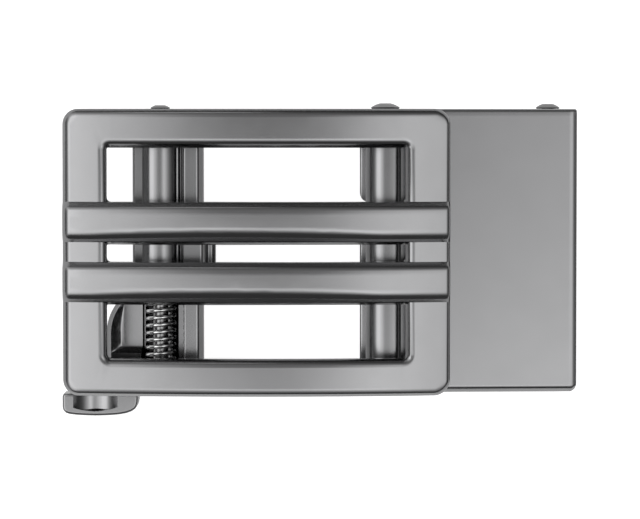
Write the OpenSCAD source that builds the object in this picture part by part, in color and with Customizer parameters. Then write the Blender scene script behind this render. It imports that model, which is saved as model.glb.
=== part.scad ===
// Ratchet belt buckle: an open front frame with two raised bars, a sprung pawl with a
// finger lever, and a strap clamp hinged behind the frame.
// Millimetres. The buckle lies on its back: +X runs from the lever's end to the strap
// clamp, +Y towards the heads of the pins, and +Z out of the face.

/* [Front frame] */
// Length of the frame
frame_l = 54; // [50:0.5:60]
// Width of the frame and of the strap clamp
frame_w = 40; // [36:0.5:46]
// Height of the face's middle over the feet
frame_h = 16.9; // [16.4:0.1:19]
// Radius that the face is arched to
arch_r = 130; // [110:5:200]
// Thickness of the face
face_t = 2; // [1.5:0.1:2.4]
// Thickness of the side walls
wall_t = 2; // [1.4:0.1:2.4]
// Radius of the frame's four corners
corner_r = 2.2; // [1:0.1:3]
// Width of the bevel round the face
edge_w = 0.8; // [0.4:0.1:1.1]
// Height of the bevel round the face
edge_h = 0.6; // [0.3:0.1:1]
// Rise of the side walls' lower edge between the feet
relief_h = 1.2; // [0.6:0.1:1.8]

/* [Windows and bars] */
// Width of the two end stiles
stile_w = 6.1; // [5:0.1:8]
// Width of the upper and lower rails
rail_w = 5.1; // [4:0.1:6]
// Distance of each raised bar from the frame's middle
bar_y = 4.2; // [3.8:0.1:5]
// Width of a raised bar at its foot
bar_w = 5.65; // [4.6:0.05:6.4]
// Width of a raised bar's flat top
bar_top_w = 3.1; // [2:0.1:4]
// Height of a raised bar over the face
bar_h = 0.9; // [0.4:0.1:1.4]
// Radius of the windows' corners
window_r = 0.6; // [0.4:0.1:1.2]
// Width of the windows' bevels on the stiles and rails
bevel_w = 1.15; // [0.6:0.05:1.4]
// Height of the windows' bevels
bevel_h = 0.9; // [0.5:0.1:1.3]

/* [Pins] */
// Radius of the pawl's pin
pawl_pin_r = 1.1; // [0.9:0.05:1.3]
// Radius of the hinge pin
hinge_pin_r = 1.1; // [0.9:0.05:1.3]
// Radius of the jaw's pin
jaw_pin_r = 0.9; // [0.7:0.05:1.1]
// Radius of the pawl pin's head
pawl_head_r = 1.5; // [1.4:0.05:2]
// Height of the pawl pin's head
pawl_head_h = 0.6; // [0.4:0.05:0.9]
// Radius of the hinge pin's head
hinge_head_r = 2.05; // [1.6:0.05:2.4]
// Height of the hinge pin's head
hinge_head_h = 0.85; // [0.5:0.05:1.2]
// Radius of the jaw pin's head
jaw_head_r = 1.7; // [1.3:0.05:1.7]
// Height of the jaw pin's head
jaw_head_h = 0.8; // [0.5:0.05:1.2]
// Gap round a pin where a piece turns on it
turn_fit = 0.05; // [0.02:0.01:0.1]
// Gap round a pin where a wall holds it
seat_fit = 0.02; // [0.01:0.01:0.05]

/* [Pawl and lever] */
// Distance of the pawl's pin from the frame's lever end
pawl_inset = 13.3; // [12.5:0.1:15]
// Clear height for the strap between the pawl's barrel and the face
strap_gap = 4.6; // [4.2:0.1:5]
// Radius of the pawl's barrel
barrel_r = 2.55; // [2.2:0.05:2.8]
// Distance of the barrel's sprung end below the frame's middle
barrel_end = 6; // [5:0.1:8]
// Thickness of the pawl's base plate
base_t = 1.6; // [1.2:0.1:2]
// Reach of the base plate from the pin towards the lever
base_reach = 4.1; // [3.4:0.1:4.6]
// Distance from the pin to the near side of the rib
rib_near = 3.3; // [2.9:0.1:4]
// Distance from the pin to the far side of the rib
rib_far = 6.05; // [5.4:0.05:7]
// Height of the rib's top over the pin's axis
rib_h = 0.9; // [0.4:0.1:1.4]
// Width of the catch tooth along its edge
tooth_w = 10; // [6:0.5:12]
// Reach of the tooth's lip past the rib
tooth_reach = 1.75; // [1:0.05:2.4]
// Height of the tooth's top over the pin's axis
tooth_h = 1.9; // [1.2:0.1:2.2]
// Distance from the pin to the far side of the lever's arm
arm_out = 7.4; // [6.6:0.1:7.8]
// Distance from the pin to the near side of the lever's arm
arm_in = 2.9; // [2.6:0.1:3.4]
// Radius of the arm's rounded end
arm_r = 6.5; // [5:0.1:8]
// Depth of the hollow in the arm's top
dish_d = 0.6; // [0.3:0.1:0.9]
// Length of the finger tab
tab_l = 10.7; // [8:0.1:13]
// Width of the finger tab
tab_w = 3.2; // [2.4:0.1:4.5]
// Thickness of the finger tab
tab_t = 5.2; // [4:0.1:5.6]
// Distance from the pin to the finger tab's far end
tab_out = 14.16; // [12:0.02:16]
// Width of the scoop in the finger tab
scoop_w = 6.7; // [4:0.1:7]
// Depth of the scoop in the finger tab
scoop_d = 1; // [0.5:0.1:1.4]

/* [Spring] */
// Radius of the spring's wire
wire_r = 0.27; // [0.2:0.01:0.29]
// Radius of the coil to the middle of the wire
coil_r = 1.9; // [1.7:0.05:2.1]
// Distance between two turns
coil_pitch = 1.03; // [0.8:0.01:1.1]
// Whole turns of the coil
coil_turns = 9; // [6:1:9]

/* [Strap clamp] */
// Distance of the hinge pin from the frame's clamp end
hinge_inset = 8.8; // [8:0.1:9.5]
// Radius of the ears and height of the hinge pin over the feet
ear_r = 6.15; // [5.9:0.05:6.4]
// Radius of the rolled knuckle
knuckle_r = 2.8; // [2.4:0.1:3]
// Length of the clamp's cover plate past the ears
cover_l = 20.76; // [18:0.02:26]
// Height of the cover plate at its near end
cover_h = 7.9; // [7.7:0.1:8.2]
// Height of the cover plate at its far end
mouth_h = 6.4; // [6.2:0.1:7.4]
// Thickness of the cover plate
cover_t = 1.1; // [0.8:0.1:1.3]
// Thickness of the clamp's side walls
cheek_t = 1.6; // [1.2:0.1:2]
// Rounded corner of the cover plate
cover_r = 0.6; // [0.4:0.1:1.2]
// Bevel along the cover plate's far edge
cover_bevel = 1; // [0.5:0.1:1.1]
// Gap between the ears and the cover's near edge
ear_gap = 0.3; // [0.25:0.05:0.6]
// Distance of the knuckle's two slots from the frame's middle
slot_y = 6.7; // [5.5:0.1:8]
// Width of the knuckle's slots
slot_w = 0.7; // [0.4:0.1:1]

/* [Jaw] */
// Distance of the jaw's pin from the clamp's mouth
jaw_inset = 3.9; // [3:0.1:5]
// Reach of the jaw from its pin
jaw_l = 13.4; // [11:0.1:14]
// Thickness of the jaw's flap
jaw_t = 0.9; // [0.7:0.05:0.95]
// Radius of the jaw's barrel
jaw_barrel_r = 1.5; // [1.35:0.05:1.55]
// Height of the jaw's teeth
bite_h = 0.7; // [0.4:0.05:0.75]
// Distance between two rows of teeth
bite_pitch = 1.6; // [1.4:0.1:2]
// Rows of teeth
bite_rows = 3; // [2:1:4]

/* [Hidden] */
$fn = 64;
// Steps round the wide arcs
arch_fn = 720;
// Overshoot of every cut
cut = 1;
// Gap between pieces that lie side by side
side_gap = 0.3;
// Gap under a pin's head
head_gap = 0.03;
// Gap between the finger tab and the frame's side
tab_gap = 0.5;
// Room beside and over the lever's arm where it swings in the frame's side wall
swing_room = 0.9;

half_l = frame_l / 2;
half_w = frame_w / 2;
inner_w = half_w - wall_t;
inside_w = inner_w - side_gap;
arch_z = frame_h - arch_r;
window_l = frame_l - 2 * stile_w;
function arch_top(x) = arch_z + sqrt(pow(arch_r, 2) - pow(x, 2));
function arch_under(x) = arch_z + sqrt(pow(arch_r - face_t, 2) - pow(x, 2));

pawl_x = pawl_inset - half_l;
pawl_z = arch_under(pawl_x) - strap_gap - barrel_r;
pawl_bore_r = pawl_pin_r + turn_fit;
base_top = pawl_z - barrel_r;
base_z = base_top - base_t;
spring_y = -barrel_end - side_gap - wire_r;
// The spring's straight leg, which sits in a blind hole in the side wall
leg_bend = 0.35;
leg_x = pawl_x + leg_bend;
leg_z = pawl_z + coil_r;
leg_depth = 1.2;
leg_hole_r = wire_r + turn_fit;

hinge_x = half_l - hinge_inset;
hinge_z = ear_r;
// Where the ear's round edge meets its slope up to the stile
shoulder = [hinge_x + ear_r * cos(45), hinge_z + ear_r * sin(45)];
relief_l = hinge_x + half_l - 12;
relief_r = (pow(relief_l / 2, 2) + pow(relief_h, 2)) / (2 * relief_h);
relief_x = (hinge_x - half_l) / 2;

cover_x = hinge_x + ear_r + ear_gap;
mouth_x = cover_x + cover_l;
cheek_y = half_w - cheek_t;
function cover_top(x) = cover_h - (cover_h - mouth_h) * (x - cover_x) / cover_l;

jaw_x = mouth_x - jaw_inset;
jaw_z = jaw_head_r + 0.05;
jaw_under = jaw_z - jaw_barrel_r;
jaw_half_w = cheek_y - side_gap;

tab_x = pawl_x - tab_out;
tab_y = -half_w - tab_gap;
// The tab's middle height, level with the middle of the arm
tab_mid_z = base_top - base_t / 2;
scoop_r = (pow(scoop_w / 2, 2) + pow(scoop_d, 2)) / (2 * scoop_d);

// The origin lies under the middle of the whole buckle
low_x = min(tab_x, -half_l);
high_y = half_w + head_gap + max(hinge_head_h, jaw_head_h, pawl_head_h);
low_y = tab_y - tab_w;
origin = [(low_x + mouth_x) / 2, (low_y + high_y) / 2, 0];

module placed() {
    translate(-origin) children();
}

// An outline in X and Z drawn out along Y
module across(y0, y1) {
    translate([0, y1, 0])
        rotate([90, 0, 0])
            linear_extrude(height = y1 - y0)
                children();
}

// A round bar along Y
module rod(x, z, r, y0, y1) {
    translate([x, y1, z])
        rotate([90, 0, 0])
            cylinder(r = r, h = y1 - y0);
}

// A section across the frame carried round the face's arch
module arched() {
    translate([0, 0, arch_z])
        rotate([-90, 0, 0])
            rotate_extrude($fn = arch_fn)
                children();
}

module rounded(l, w, r) {
    square([l, w - 2 * r], center = true);
    square([l - 2 * r, w], center = true);
    for (sx = [-1, 1])
        for (sy = [-1, 1])
            translate([sx * (l / 2 - r), sy * (w / 2 - r)])
                circle(r = r);
}

// Side view of the frame: feet, relief between them, ears and face
module side_view() {
    difference() {
        union() {
            polygon([
                [-half_l, 0], [hinge_x, 0], [hinge_x, hinge_z], shoulder,
                [half_l, arch_under(half_l)], [half_l, frame_h + cut], [-half_l, frame_h + cut]
            ]);
            translate([hinge_x, hinge_z])
                circle(r = ear_r);
        }
        translate([relief_x, relief_h - relief_r])
            circle(r = relief_r, $fn = arch_fn);
    }
}

// The frame's section from side to side, bevelled along both long edges
module face_section() {
    inner_r = arch_r - 2 * frame_h;
    polygon([
        [inner_r, -half_w], [arch_r - edge_h, -half_w], [arch_r, edge_w - half_w],
        [arch_r, half_w - edge_w], [arch_r - edge_h, half_w], [inner_r, half_w]
    ]);
}

// Everything off the end of the face above its bevel
module end_bevel() {
    across(-half_w - cut, half_w + cut)
        polygon([
            [half_l - edge_w, arch_top(half_l - edge_w)],
            [half_l, arch_top(half_l) - edge_h],
            [half_l + cut, arch_top(half_l) - edge_h - cut],
            [half_l + cut, frame_h + cut],
            [half_l - edge_w, frame_h + cut]
        ]);
}

module window(y0, y1) {
    translate([0, (y0 + y1) / 2, hinge_z])
        linear_extrude(height = frame_h)
            rounded(window_l, y1 - y0, window_r);
}

// What a window's bevels take off the stiles at its ends and off the rail beside it.
// spread says how far each long side leans out, as a share of the bevel's width.
module window_bevel(y0, y1, spread) {
    edge_x = window_l / 2;
    floor_z = arch_top(edge_x) - bevel_h;
    rise = bevel_h + cut;
    run = bevel_w * rise / bevel_h;
    intersection() {
        arched()
            translate([arch_r - bevel_h, 0])
                polygon([
                    [0, y0], [0, y1], [rise, y1 + spread[1] * run], [rise, y0 - spread[0] * run]
                ]);
        across(y0 - run, y1 + run)
            polygon([
                [-edge_x, floor_z], [edge_x, floor_z], [edge_x + run, floor_z + rise],
                [edge_x + run, frame_h + 2 * cut], [-edge_x - run, frame_h + 2 * cut],
                [-edge_x - run, floor_z + rise]
            ]);
    }
}

module windows() {
    outer_y = half_w - rail_w;
    far_y = bar_y + bar_w / 2;
    near_y = bar_y - bar_w / 2;
    window(far_y, outer_y);
    window(-near_y, near_y);
    window(-outer_y, -far_y);
    window_bevel(far_y, outer_y, [0, 1]);
    window_bevel(-near_y, near_y, [0, 0]);
    window_bevel(-outer_y, -far_y, [1, 0]);
}

// The channel that the strap runs through, open at both ends
module channel() {
    intersection() {
        translate([-half_l - cut, -inner_w, -cut])
            cube([frame_l + 2 * cut, 2 * inner_w, frame_h]);
        arched()
            translate([0, -half_w])
                square([arch_r - face_t, frame_w]);
    }
}

// A bar raised over the face, with sloping sides
module raised_bar(y) {
    intersection() {
        arched()
            translate([arch_r, y])
                polygon([
                    [-face_t, -bar_w / 2], [0, -bar_w / 2], [bar_h, -bar_top_w / 2],
                    [bar_h, bar_top_w / 2], [0, bar_w / 2], [-face_t, bar_w / 2]
                ]);
        translate([-half_l, y - bar_w, 0])
            cube([frame_l, 2 * bar_w, frame_h + 2 * bar_h]);
    }
}

// Room in the lower side wall for the lever's arm and its swing
module lever_notch() {
    notch_l = arm_out - arm_in + 1.6 * swing_room;
    translate([pawl_x - arm_out - swing_room, -half_w - cut, -cut])
        cube([notch_l, wall_t + 2 * cut, pawl_z + swing_room + cut]);
}

module front_frame() {
    placed()
        color("dimgray")
            difference() {
                union() {
                    difference() {
                        intersection() {
                            linear_extrude(height = frame_h + cut)
                                rounded(frame_l, frame_w, corner_r);
                            arched()
                                face_section();
                            across(-half_w, half_w)
                                side_view();
                        }
                        channel();
                        windows();
                        end_bevel();
                        mirror([1, 0, 0])
                            end_bevel();
                    }
                    raised_bar(bar_y);
                    raised_bar(-bar_y);
                }
                lever_notch();
                rod(pawl_x, pawl_z, pawl_pin_r + seat_fit, -half_w - cut, half_w + cut);
                rod(hinge_x, hinge_z, hinge_pin_r + seat_fit, -half_w - cut, half_w + cut);
                rod(leg_x, leg_z, leg_hole_r, -inner_w - leg_depth, -inner_w + cut);
            }
}

// Base plate, web and rib of the pawl, seen along the pin
module pawl_section() {
    polygon([
        [pawl_x - base_reach, base_z],
        [pawl_x + rib_far, base_z],
        [pawl_x + rib_far, pawl_z + rib_h - 0.8],
        [pawl_x + rib_far - 0.8, pawl_z + rib_h],
        [pawl_x + rib_near, pawl_z + rib_h],
        [pawl_x + rib_near, base_top],
        [pawl_x - base_reach, base_top]
    ]);
}

// The tooth that drops into the strap's track, with a lip on its lead side
module tooth_section() {
    lip = pawl_x + rib_far + tooth_reach;
    polygon([
        [pawl_x + rib_near, base_z],
        [lip, pawl_z - 2.4],
        [lip, pawl_z - 0.4],
        [lip - 0.5, pawl_z],
        [lip - 1.1, pawl_z],
        [lip - 1.8, pawl_z + tooth_h],
        [pawl_x + rib_near, pawl_z + rib_h]
    ]);
}

// Outline of the lever's arm from the front
module arm_outline() {
    arm_top = -barrel_end - 1;
    turn_y = arm_top - 5;
    intersection() {
        translate([pawl_x - arm_out, turn_y])
            square([arm_out - arm_in, arm_top - turn_y]);
        translate([pawl_x - arm_out + arm_r, turn_y])
            circle(r = arm_r);
    }
    translate([pawl_x - arm_out, -half_w])
        square([arm_out - arm_in, turn_y + half_w]);
    // Narrower where it joins the finger tab
    translate([pawl_x - arm_out, tab_y - tab_w / 2])
        square([arm_out - arm_in - 1.6, tab_gap + tab_w / 2 + cut]);
}

// Hollow in the top of the lever's arm
module arm_dish() {
    dish_r = 9;
    translate([pawl_x - (arm_out + arm_in) / 2 + 0.6, -barrel_end - 4.6, base_top + dish_r - dish_d])
        sphere(r = dish_r);
}

// The finger tab, bowed along its outer edge, with a scoop for the fingertip
module finger_tab() {
    bow_r = 2.4 * tab_l;
    difference() {
        intersection() {
            translate([tab_x + tab_l / 2, tab_y - tab_w / 2, tab_mid_z - tab_t / 2])
                linear_extrude(height = tab_t)
                    rounded(tab_l, tab_w, 0.6);
            translate([tab_x + tab_l * 0.42, tab_y - tab_w + bow_r, 0])
                cylinder(r = bow_r, h = frame_h, $fn = arch_fn);
            // Far end rounded off towards the pin
            translate([tab_x + tab_l - 4, tab_y + 0.3, 0])
                union() {
                    cylinder(r = 4, h = frame_h);
                    translate([-2 * tab_l, -tab_l, 0])
                        cube([2 * tab_l, 2 * tab_l, frame_h]);
                }
        }
        rod(tab_x + tab_l * 0.43, tab_mid_z + tab_t / 2 - scoop_d + scoop_r, scoop_r,
            tab_y - tab_w - cut, tab_y + cut);
    }
}

module pawl_lever() {
    placed()
        color("gray")
            difference() {
                union() {
                    across(-inside_w, inside_w)
                        pawl_section();
                    across(-tooth_w / 2, tooth_w / 2)
                        tooth_section();
                    rod(pawl_x, pawl_z, barrel_r, -barrel_end, inside_w);
                    translate([pawl_x - barrel_r * 0.7, -barrel_end, base_z])
                        cube([barrel_r * 1.4, barrel_end + inside_w, pawl_z - base_z]);
                    translate([0, 0, base_z])
                        linear_extrude(height = base_t)
                            arm_outline();
                    finger_tab();
                }
                rod(pawl_x, pawl_z, pawl_bore_r, -half_w, half_w);
                arm_dish();
            }
}

// A pin along Y with a low domed head, peened in the middle
module domed_pin(x, z, r, head_r, head_h) {
    dome_r = (pow(head_r, 2) + pow(head_h, 2)) / (2 * head_h);
    rod(x, z, r, -half_w, half_w + head_gap + head_h / 4);
    difference() {
        intersection() {
            translate([x, half_w + head_gap + head_h - dome_r, z])
                sphere(r = dome_r);
            rod(x, z, head_r + 1, half_w + head_gap, half_w + head_gap + 2 * head_h);
        }
        translate([x, half_w + head_gap + head_h + 0.5, z])
            sphere(r = 0.62);
    }
}

module pawl_pin() {
    placed()
        color("lightgray")
            domed_pin(pawl_x, pawl_z, pawl_pin_r, pawl_head_r, pawl_head_h);
}

module hinge_pin() {
    placed()
        color("lightgray")
            domed_pin(hinge_x, hinge_z, hinge_pin_r, hinge_head_r, hinge_head_h);
}

module jaw_pin() {
    placed()
        color("lightgray")
            domed_pin(jaw_x, jaw_z, jaw_pin_r, jaw_head_r, jaw_head_h);
}

// The spring's path. Each row is a point on the wire's middle line and the direction
// away from the pin. One leg rests on the base plate, the other sits in the side wall.
start_turn = -1 / 6;
leg_lean = 90 + 360 * start_turn;
steps_a_turn = 18;
coil_steps = (coil_turns - start_turn) * steps_a_turn;
function away(turn) = [sin(360 * turn), 0, cos(360 * turn)];
function coil_row(turn) = [
    [pawl_x, spring_y - coil_pitch * (turn - start_turn), pawl_z] + coil_r * away(turn),
    away(turn)
];
coil_start = coil_row(start_turn)[0];
coil_end = coil_row(coil_turns)[0];
leg_drop = coil_start[2] - base_top - wire_r - turn_fit;
wire_rows = concat(
    [[coil_start - leg_drop * [tan(leg_lean), 0, 1], away(start_turn)]],
    [for (i = [0:coil_steps]) coil_row(start_turn + i / steps_a_turn)],
    [for (y = [coil_end[1] - wire_r, 0.1 - inner_w - leg_depth]) [[leg_x, y, leg_z], [0, 0, 1]]]
);

module pawl_spring() {
    last = len(wire_rows) - 1;
    sides = 8;
    function heading(i) = wire_rows[min(i + 1, last)][0] - wire_rows[max(i - 1, 0)][0];
    function ring(i) = let (
        ahead = heading(i) / norm(heading(i)),
        out = wire_rows[i][1] - (wire_rows[i][1] * ahead) * ahead,
        n = out / norm(out),
        b = cross(ahead, n)
    ) [for (k = [0:sides - 1])
        wire_rows[i][0] + wire_r * (cos(360 * k / sides) * n + sin(360 * k / sides) * b)];
    points = [for (i = [0:last]) each ring(i)];
    faces = concat(
        [[for (k = [0:sides - 1]) k]],
        [[for (k = [sides - 1:-1:0]) last * sides + k]],
        [for (i = [0:last - 1])
            for (k = [0:sides - 1])
                [i * sides + k, (i + 1) * sides + k,
                    (i + 1) * sides + (k + 1) % sides, i * sides + (k + 1) % sides]
        ]
    );
    placed()
        color("silver")
            polyhedron(points = points, faces = faces, convexity = 10);
}

// Side view of the cover and cheeks
module clamp_side(z0) {
    polygon([
        [cover_x, z0],
        [mouth_x, z0],
        [mouth_x, cover_top(mouth_x) - cover_bevel / 2],
        [mouth_x - cover_bevel, cover_top(mouth_x - cover_bevel)],
        [cover_x, cover_top(cover_x)]
    ]);
}

module strap_clamp() {
    neck_h = cover_top(cover_x);
    placed()
        color("gray")
            difference() {
                union() {
                    // Cover and cheeks
                    intersection() {
                        difference() {
                            across(-half_w, half_w)
                                clamp_side(0);
                            across(-cheek_y, cheek_y)
                                translate([0, -cover_t])
                                    polygon([
                                        [cover_x - cut, -cut],
                                        [mouth_x + cut, -cut],
                                        [mouth_x + cut, cover_top(mouth_x + cut)],
                                        [cover_x - cut, cover_top(cover_x - cut)]
                                    ]);
                        }
                        translate([(cover_x + mouth_x) / 2, 0, 0])
                            linear_extrude(height = frame_h)
                                rounded(cover_l, frame_w, cover_r);
                    }
                    // Neck between the ears
                    across(-inside_w, inside_w)
                        polygon([
                            [hinge_x, neck_h - cover_t],
                            [cover_x + cover_r, neck_h - cover_t],
                            [cover_x + cover_r, cover_top(cover_x + cover_r)],
                            [hinge_x, neck_h]
                        ]);
                    // Rolled knuckle and its lip
                    rod(hinge_x, hinge_z, knuckle_r, -inside_w, inside_w);
                    across(-inside_w, inside_w)
                        polygon([
                            [hinge_x - knuckle_r - 0.8, hinge_z - knuckle_r + 0.3],
                            [hinge_x, hinge_z - knuckle_r],
                            [hinge_x, hinge_z - knuckle_r + 1.3],
                            [hinge_x - knuckle_r - 0.8, hinge_z - knuckle_r + 1.3]
                        ]);
                }
                rod(hinge_x, hinge_z, hinge_pin_r + turn_fit, -half_w, half_w);
                for (side = [-1, 1])
                    translate([hinge_x - ear_r, side * slot_y - slot_w / 2, 0])
                        cube([ear_r + knuckle_r / 3, slot_w, frame_h]);
                rod(jaw_x, jaw_z, jaw_pin_r + seat_fit, -half_w - cut, half_w + cut);
            }
}

module clamp_jaw() {
    flap_z = jaw_under + jaw_t;
    placed()
        color("gray")
            difference() {
                union() {
                    rod(jaw_x, jaw_z, jaw_barrel_r, -jaw_half_w, jaw_half_w);
                    across(-jaw_half_w, jaw_half_w)
                        polygon([
                            [jaw_x - jaw_l, jaw_under], [jaw_x, jaw_under],
                            [jaw_x, flap_z], [jaw_x - jaw_l, flap_z]
                        ]);
                    for (row = [0:bite_rows - 1])
                        translate([jaw_x - jaw_l + row * bite_pitch, 0, flap_z])
                            across(1 - jaw_half_w, jaw_half_w - 1)
                                polygon([[0, -jaw_t / 2], [1.2, -jaw_t / 2], [1.2, 0], [0, bite_h], [0, 0]]);
                }
                rod(jaw_x, jaw_z, jaw_pin_r + turn_fit, -half_w, half_w);
            }
}

front_frame();
pawl_lever();
pawl_pin();
pawl_spring();
strap_clamp();
hinge_pin();
clamp_jaw();
jaw_pin();
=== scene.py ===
import math

import bmesh
import bpy
from mathutils import Matrix, Vector
from mathutils.geometry import delaunay_2d_cdt


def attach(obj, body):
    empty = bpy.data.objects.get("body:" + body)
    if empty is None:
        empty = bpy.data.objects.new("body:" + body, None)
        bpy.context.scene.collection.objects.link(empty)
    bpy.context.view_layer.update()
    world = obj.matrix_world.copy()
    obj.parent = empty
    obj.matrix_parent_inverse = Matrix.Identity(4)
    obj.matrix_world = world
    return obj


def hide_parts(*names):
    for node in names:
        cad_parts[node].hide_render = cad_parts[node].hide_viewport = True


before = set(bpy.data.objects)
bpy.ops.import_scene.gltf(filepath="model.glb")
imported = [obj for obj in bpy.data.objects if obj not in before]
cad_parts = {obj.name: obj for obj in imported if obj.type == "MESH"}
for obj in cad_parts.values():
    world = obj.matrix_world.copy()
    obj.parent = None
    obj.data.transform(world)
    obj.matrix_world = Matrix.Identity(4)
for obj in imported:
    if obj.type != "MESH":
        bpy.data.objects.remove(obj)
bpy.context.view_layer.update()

# Front frame: one zinc die-casting, tumbled and plated a satin gunmetal. Its face is
# arched from end to end and rounded off round three windows, two crowned bars stand proud
# of it, and its side walls carry the pins.
# Sizes are in millimetres from the frame's middle, and the whole buckle's is box_x, box_y.
box_x, box_y = 8.775, -1.41
half_l, half_w, inner_w, corner_r = 27.15, 20.0, 18.0, 2.2
arch_r, face_h, face_t = 130.0, 16.9, 2.0
arch_z = face_h - arch_r
pawl_x, pawl_z = -13.7, 7.015
hinge_x, hinge_z, ear_r = 18.2, 6.15, 6.15

# Outer edges. One that faces the near side is a steep strip and then a round cut short: its
# three values are the strip's width, the round's radius and its last lean in degrees.
edge_round, right_edge_round, far_edge_round, far_edge_cut = 1.2, 0.55, 1.5, 0.134
near_edge, rail_edge, right_edge = (0.42, 1.7, 27), (0.2, 1.25, 38), (0.35, 1.3, 50)
strip_slope, near_out, near_from = 2.7, 0.2, 16.0

# Windows: their half length and corners, where rails and bars end, and their rims
window_x, window_r, rail_y, bar_out, bar_in = 20.9, 0.6, 14.9, 7.025, 1.375
left_round, right_round, near_round, far_round = 1.25, 1.6, 1.5, 1.2
stile_deep, rail_deep, rim_out, rim_fall = 0.9, 0.95, 0.35, 1.2

# Bars: middle, half width, and each side's foot, rise, crown radius and the crown's last lean
bar_y, bar_half, under_bar, foot_slope = 4.2, 2.825, 0.35, 0.96
far_side = (0.62, 0.592, 1.66, math.radians(35))
near_foot, near_top, near_crown, near_lean = 0.32, 0.892, 1.7, math.radians(49)
swell_x, swell_half, swell_crown, swell_foot = -3, 20, 0.5, 0.22
tiny = 1e-6


def metres(point):
    """A point in the buckle's own millimetres, as metres in the shared frame."""
    x, y, z = point
    return Vector((x - box_x, y - box_y, z)) / 1000


def piece_from(name, points, faces):
    """A piece from points in millimetres, welded and with its normals outward."""
    mesh = bpy.data.meshes.new(name)
    mesh.from_pydata([metres(p) for p in points], [], faces)
    shell = bmesh.new()
    shell.from_mesh(mesh)
    bmesh.ops.remove_doubles(shell, verts=shell.verts, dist=1e-7)
    bmesh.ops.recalc_face_normals(shell, faces=shell.faces)
    shell.to_mesh(mesh)
    shell.free()
    piece = bpy.data.objects.new(name, mesh)
    bpy.context.scene.collection.objects.link(piece)
    return piece


def eased(points, reach, steps=4, closed=True):
    """An outline with its corners rounded off. reach says from how far, up to most of a side."""
    most = 0.49
    out = []
    last = len(points) - 1
    for i, (x, y) in enumerate(points):
        r = reach[i] if isinstance(reach, (list, tuple)) else reach
        if r == 0 or (not closed and i in (0, last)):
            out.append((x, y))
            continue
        (ax, ay), (bx, by) = points[i - 1], points[(i + 1) % len(points)]
        la, lb = math.hypot(ax - x, ay - y), math.hypot(bx - x, by - y)
        ra, rb = min(r, most * la) / la, min(r, most * lb) / lb
        sx, sy = x + (ax - x) * ra, y + (ay - y) * ra
        ex, ey = x + (bx - x) * rb, y + (by - y) * rb
        for k in range(steps + 1):
            t = k / steps
            out.append(((1 - t) ** 2 * sx + 2 * t * (1 - t) * x + t * t * ex,
                        (1 - t) ** 2 * sy + 2 * t * (1 - t) * y + t * t * ey))
    return out


def arc(cx, cy, r, a0, a1, steps):
    turns = [math.radians(a0 + (a1 - a0) * k / steps) for k in range(steps + 1)]
    return [(cx + r * math.cos(t), cy + r * math.sin(t)) for t in turns]


def inset(outline, d):
    """The outline moved inwards by d, with mitred corners that least keeps from running out."""
    least = 0.35
    if d == 0:
        return list(outline)
    area = sum(a[0] * b[1] - b[0] * a[1] for a, b in zip(outline, outline[1:] + outline[:1]))
    side = 1 if area > 0 else -1
    out = []
    for i, (x, y) in enumerate(outline):
        (ax, ay), (bx, by) = outline[i - 1], outline[(i + 1) % len(outline)]
        la, lb = math.hypot(x - ax, y - ay), math.hypot(bx - x, by - y)
        nax, nay = -(y - ay) / la, (x - ax) / la
        nbx, nby = -(by - y) / lb, (bx - x) / lb
        k = side * d / max(least, 1 + nax * nbx + nay * nby)
        out.append((x + (nax + nbx) * k, y + (nay + nby) * k))
    return out


def along_y(u, v, w):
    return (u, w, v)


def along_z(u, v, w):
    return (u, v, w)


def skin(name, rings):
    """A closed solid through rings of points, with the first and the last ring capped."""
    n = len(rings[0])
    points = [point for ring in rings for point in ring]
    faces = [tuple(range(n)), tuple(range(len(points) - 1, len(points) - n - 1, -1))]
    faces += [(r * n + i, (r + 1) * n + i, (r + 1) * n + (i + 1) % n, r * n + (i + 1) % n)
              for r in range(len(rings) - 1) for i in range(n)]
    return piece_from(name, points, faces)


def round_end(r, steps=4):
    """Steps of a rounded end: how far along it and how far in from the side."""
    if not r:
        return [(0, 0)]
    turns = [math.pi / 2 * k / steps for k in range(steps + 1)]
    return [(r * (1 - math.sin(a)), r * (1 - math.cos(a))) for a in turns]


def less(reach, back, least):
    """A corner's reach on a ring that lies back in from the side."""
    return max(least, reach - 0.8 * back)


def cast(name, outline, low, high, ease=0.2, way=along_y, steps=4, reach=0):
    """An outline drawn out from low to high. Its ends are rounded off by ease, and its corners
    from reach away."""
    reaches = reach if isinstance(reach, (list, tuple)) else [reach] * len(outline)
    end = round_end(ease, steps)
    rings = []
    for at, up, (along, back) in [(low, 1, e) for e in end[::-1]] + [(high, -1, e) for e in end]:
        shrunk = [less(r, back, 0.04) if r else 0 for r in reaches]
        drawn = eased(inset(outline, back), shrunk)
        rings.append([way(u, v, at + up * along) for u, v in drawn])
    return skin(name, rings)


def bar_round(name, x, z, r, y0, y1, ease, sides=48):
    """A round bar along y, also used for bores."""
    return cast(name, arc(x, z, r, 0, 360 * (sides - 1) / sides, sides - 1), y0, y1, ease)


def work(body, others, how):
    """Joins other solids to the body, or cuts them out of it."""
    for other in others:
        step = body.modifiers.new(how.lower(), "BOOLEAN")
        step.operation, step.solver, step.object = how, "EXACT", other
    seen = body.evaluated_get(bpy.context.evaluated_depsgraph_get())
    mesh = bpy.data.meshes.new_from_object(seen)
    body.modifiers.clear()
    body.data = mesh
    for other in others:
        bpy.data.objects.remove(other)
    return body


def finished(piece, finish, slot_name, body, *nodes, sharp=33):
    """Smooth over the rounded edges, crisp at the sharp ones, plated, and on its body."""
    mesh = piece.data
    mesh.materials.clear()
    mesh.materials.append(finish)
    mesh.shade_smooth()
    mesh.set_sharp_from_angle(angle=math.radians(sharp))
    level = piece.modifiers.new("even shading", "WEIGHTED_NORMAL")
    level.keep_sharp = True
    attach(piece, body)
    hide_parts(*nodes)
    return piece


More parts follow.
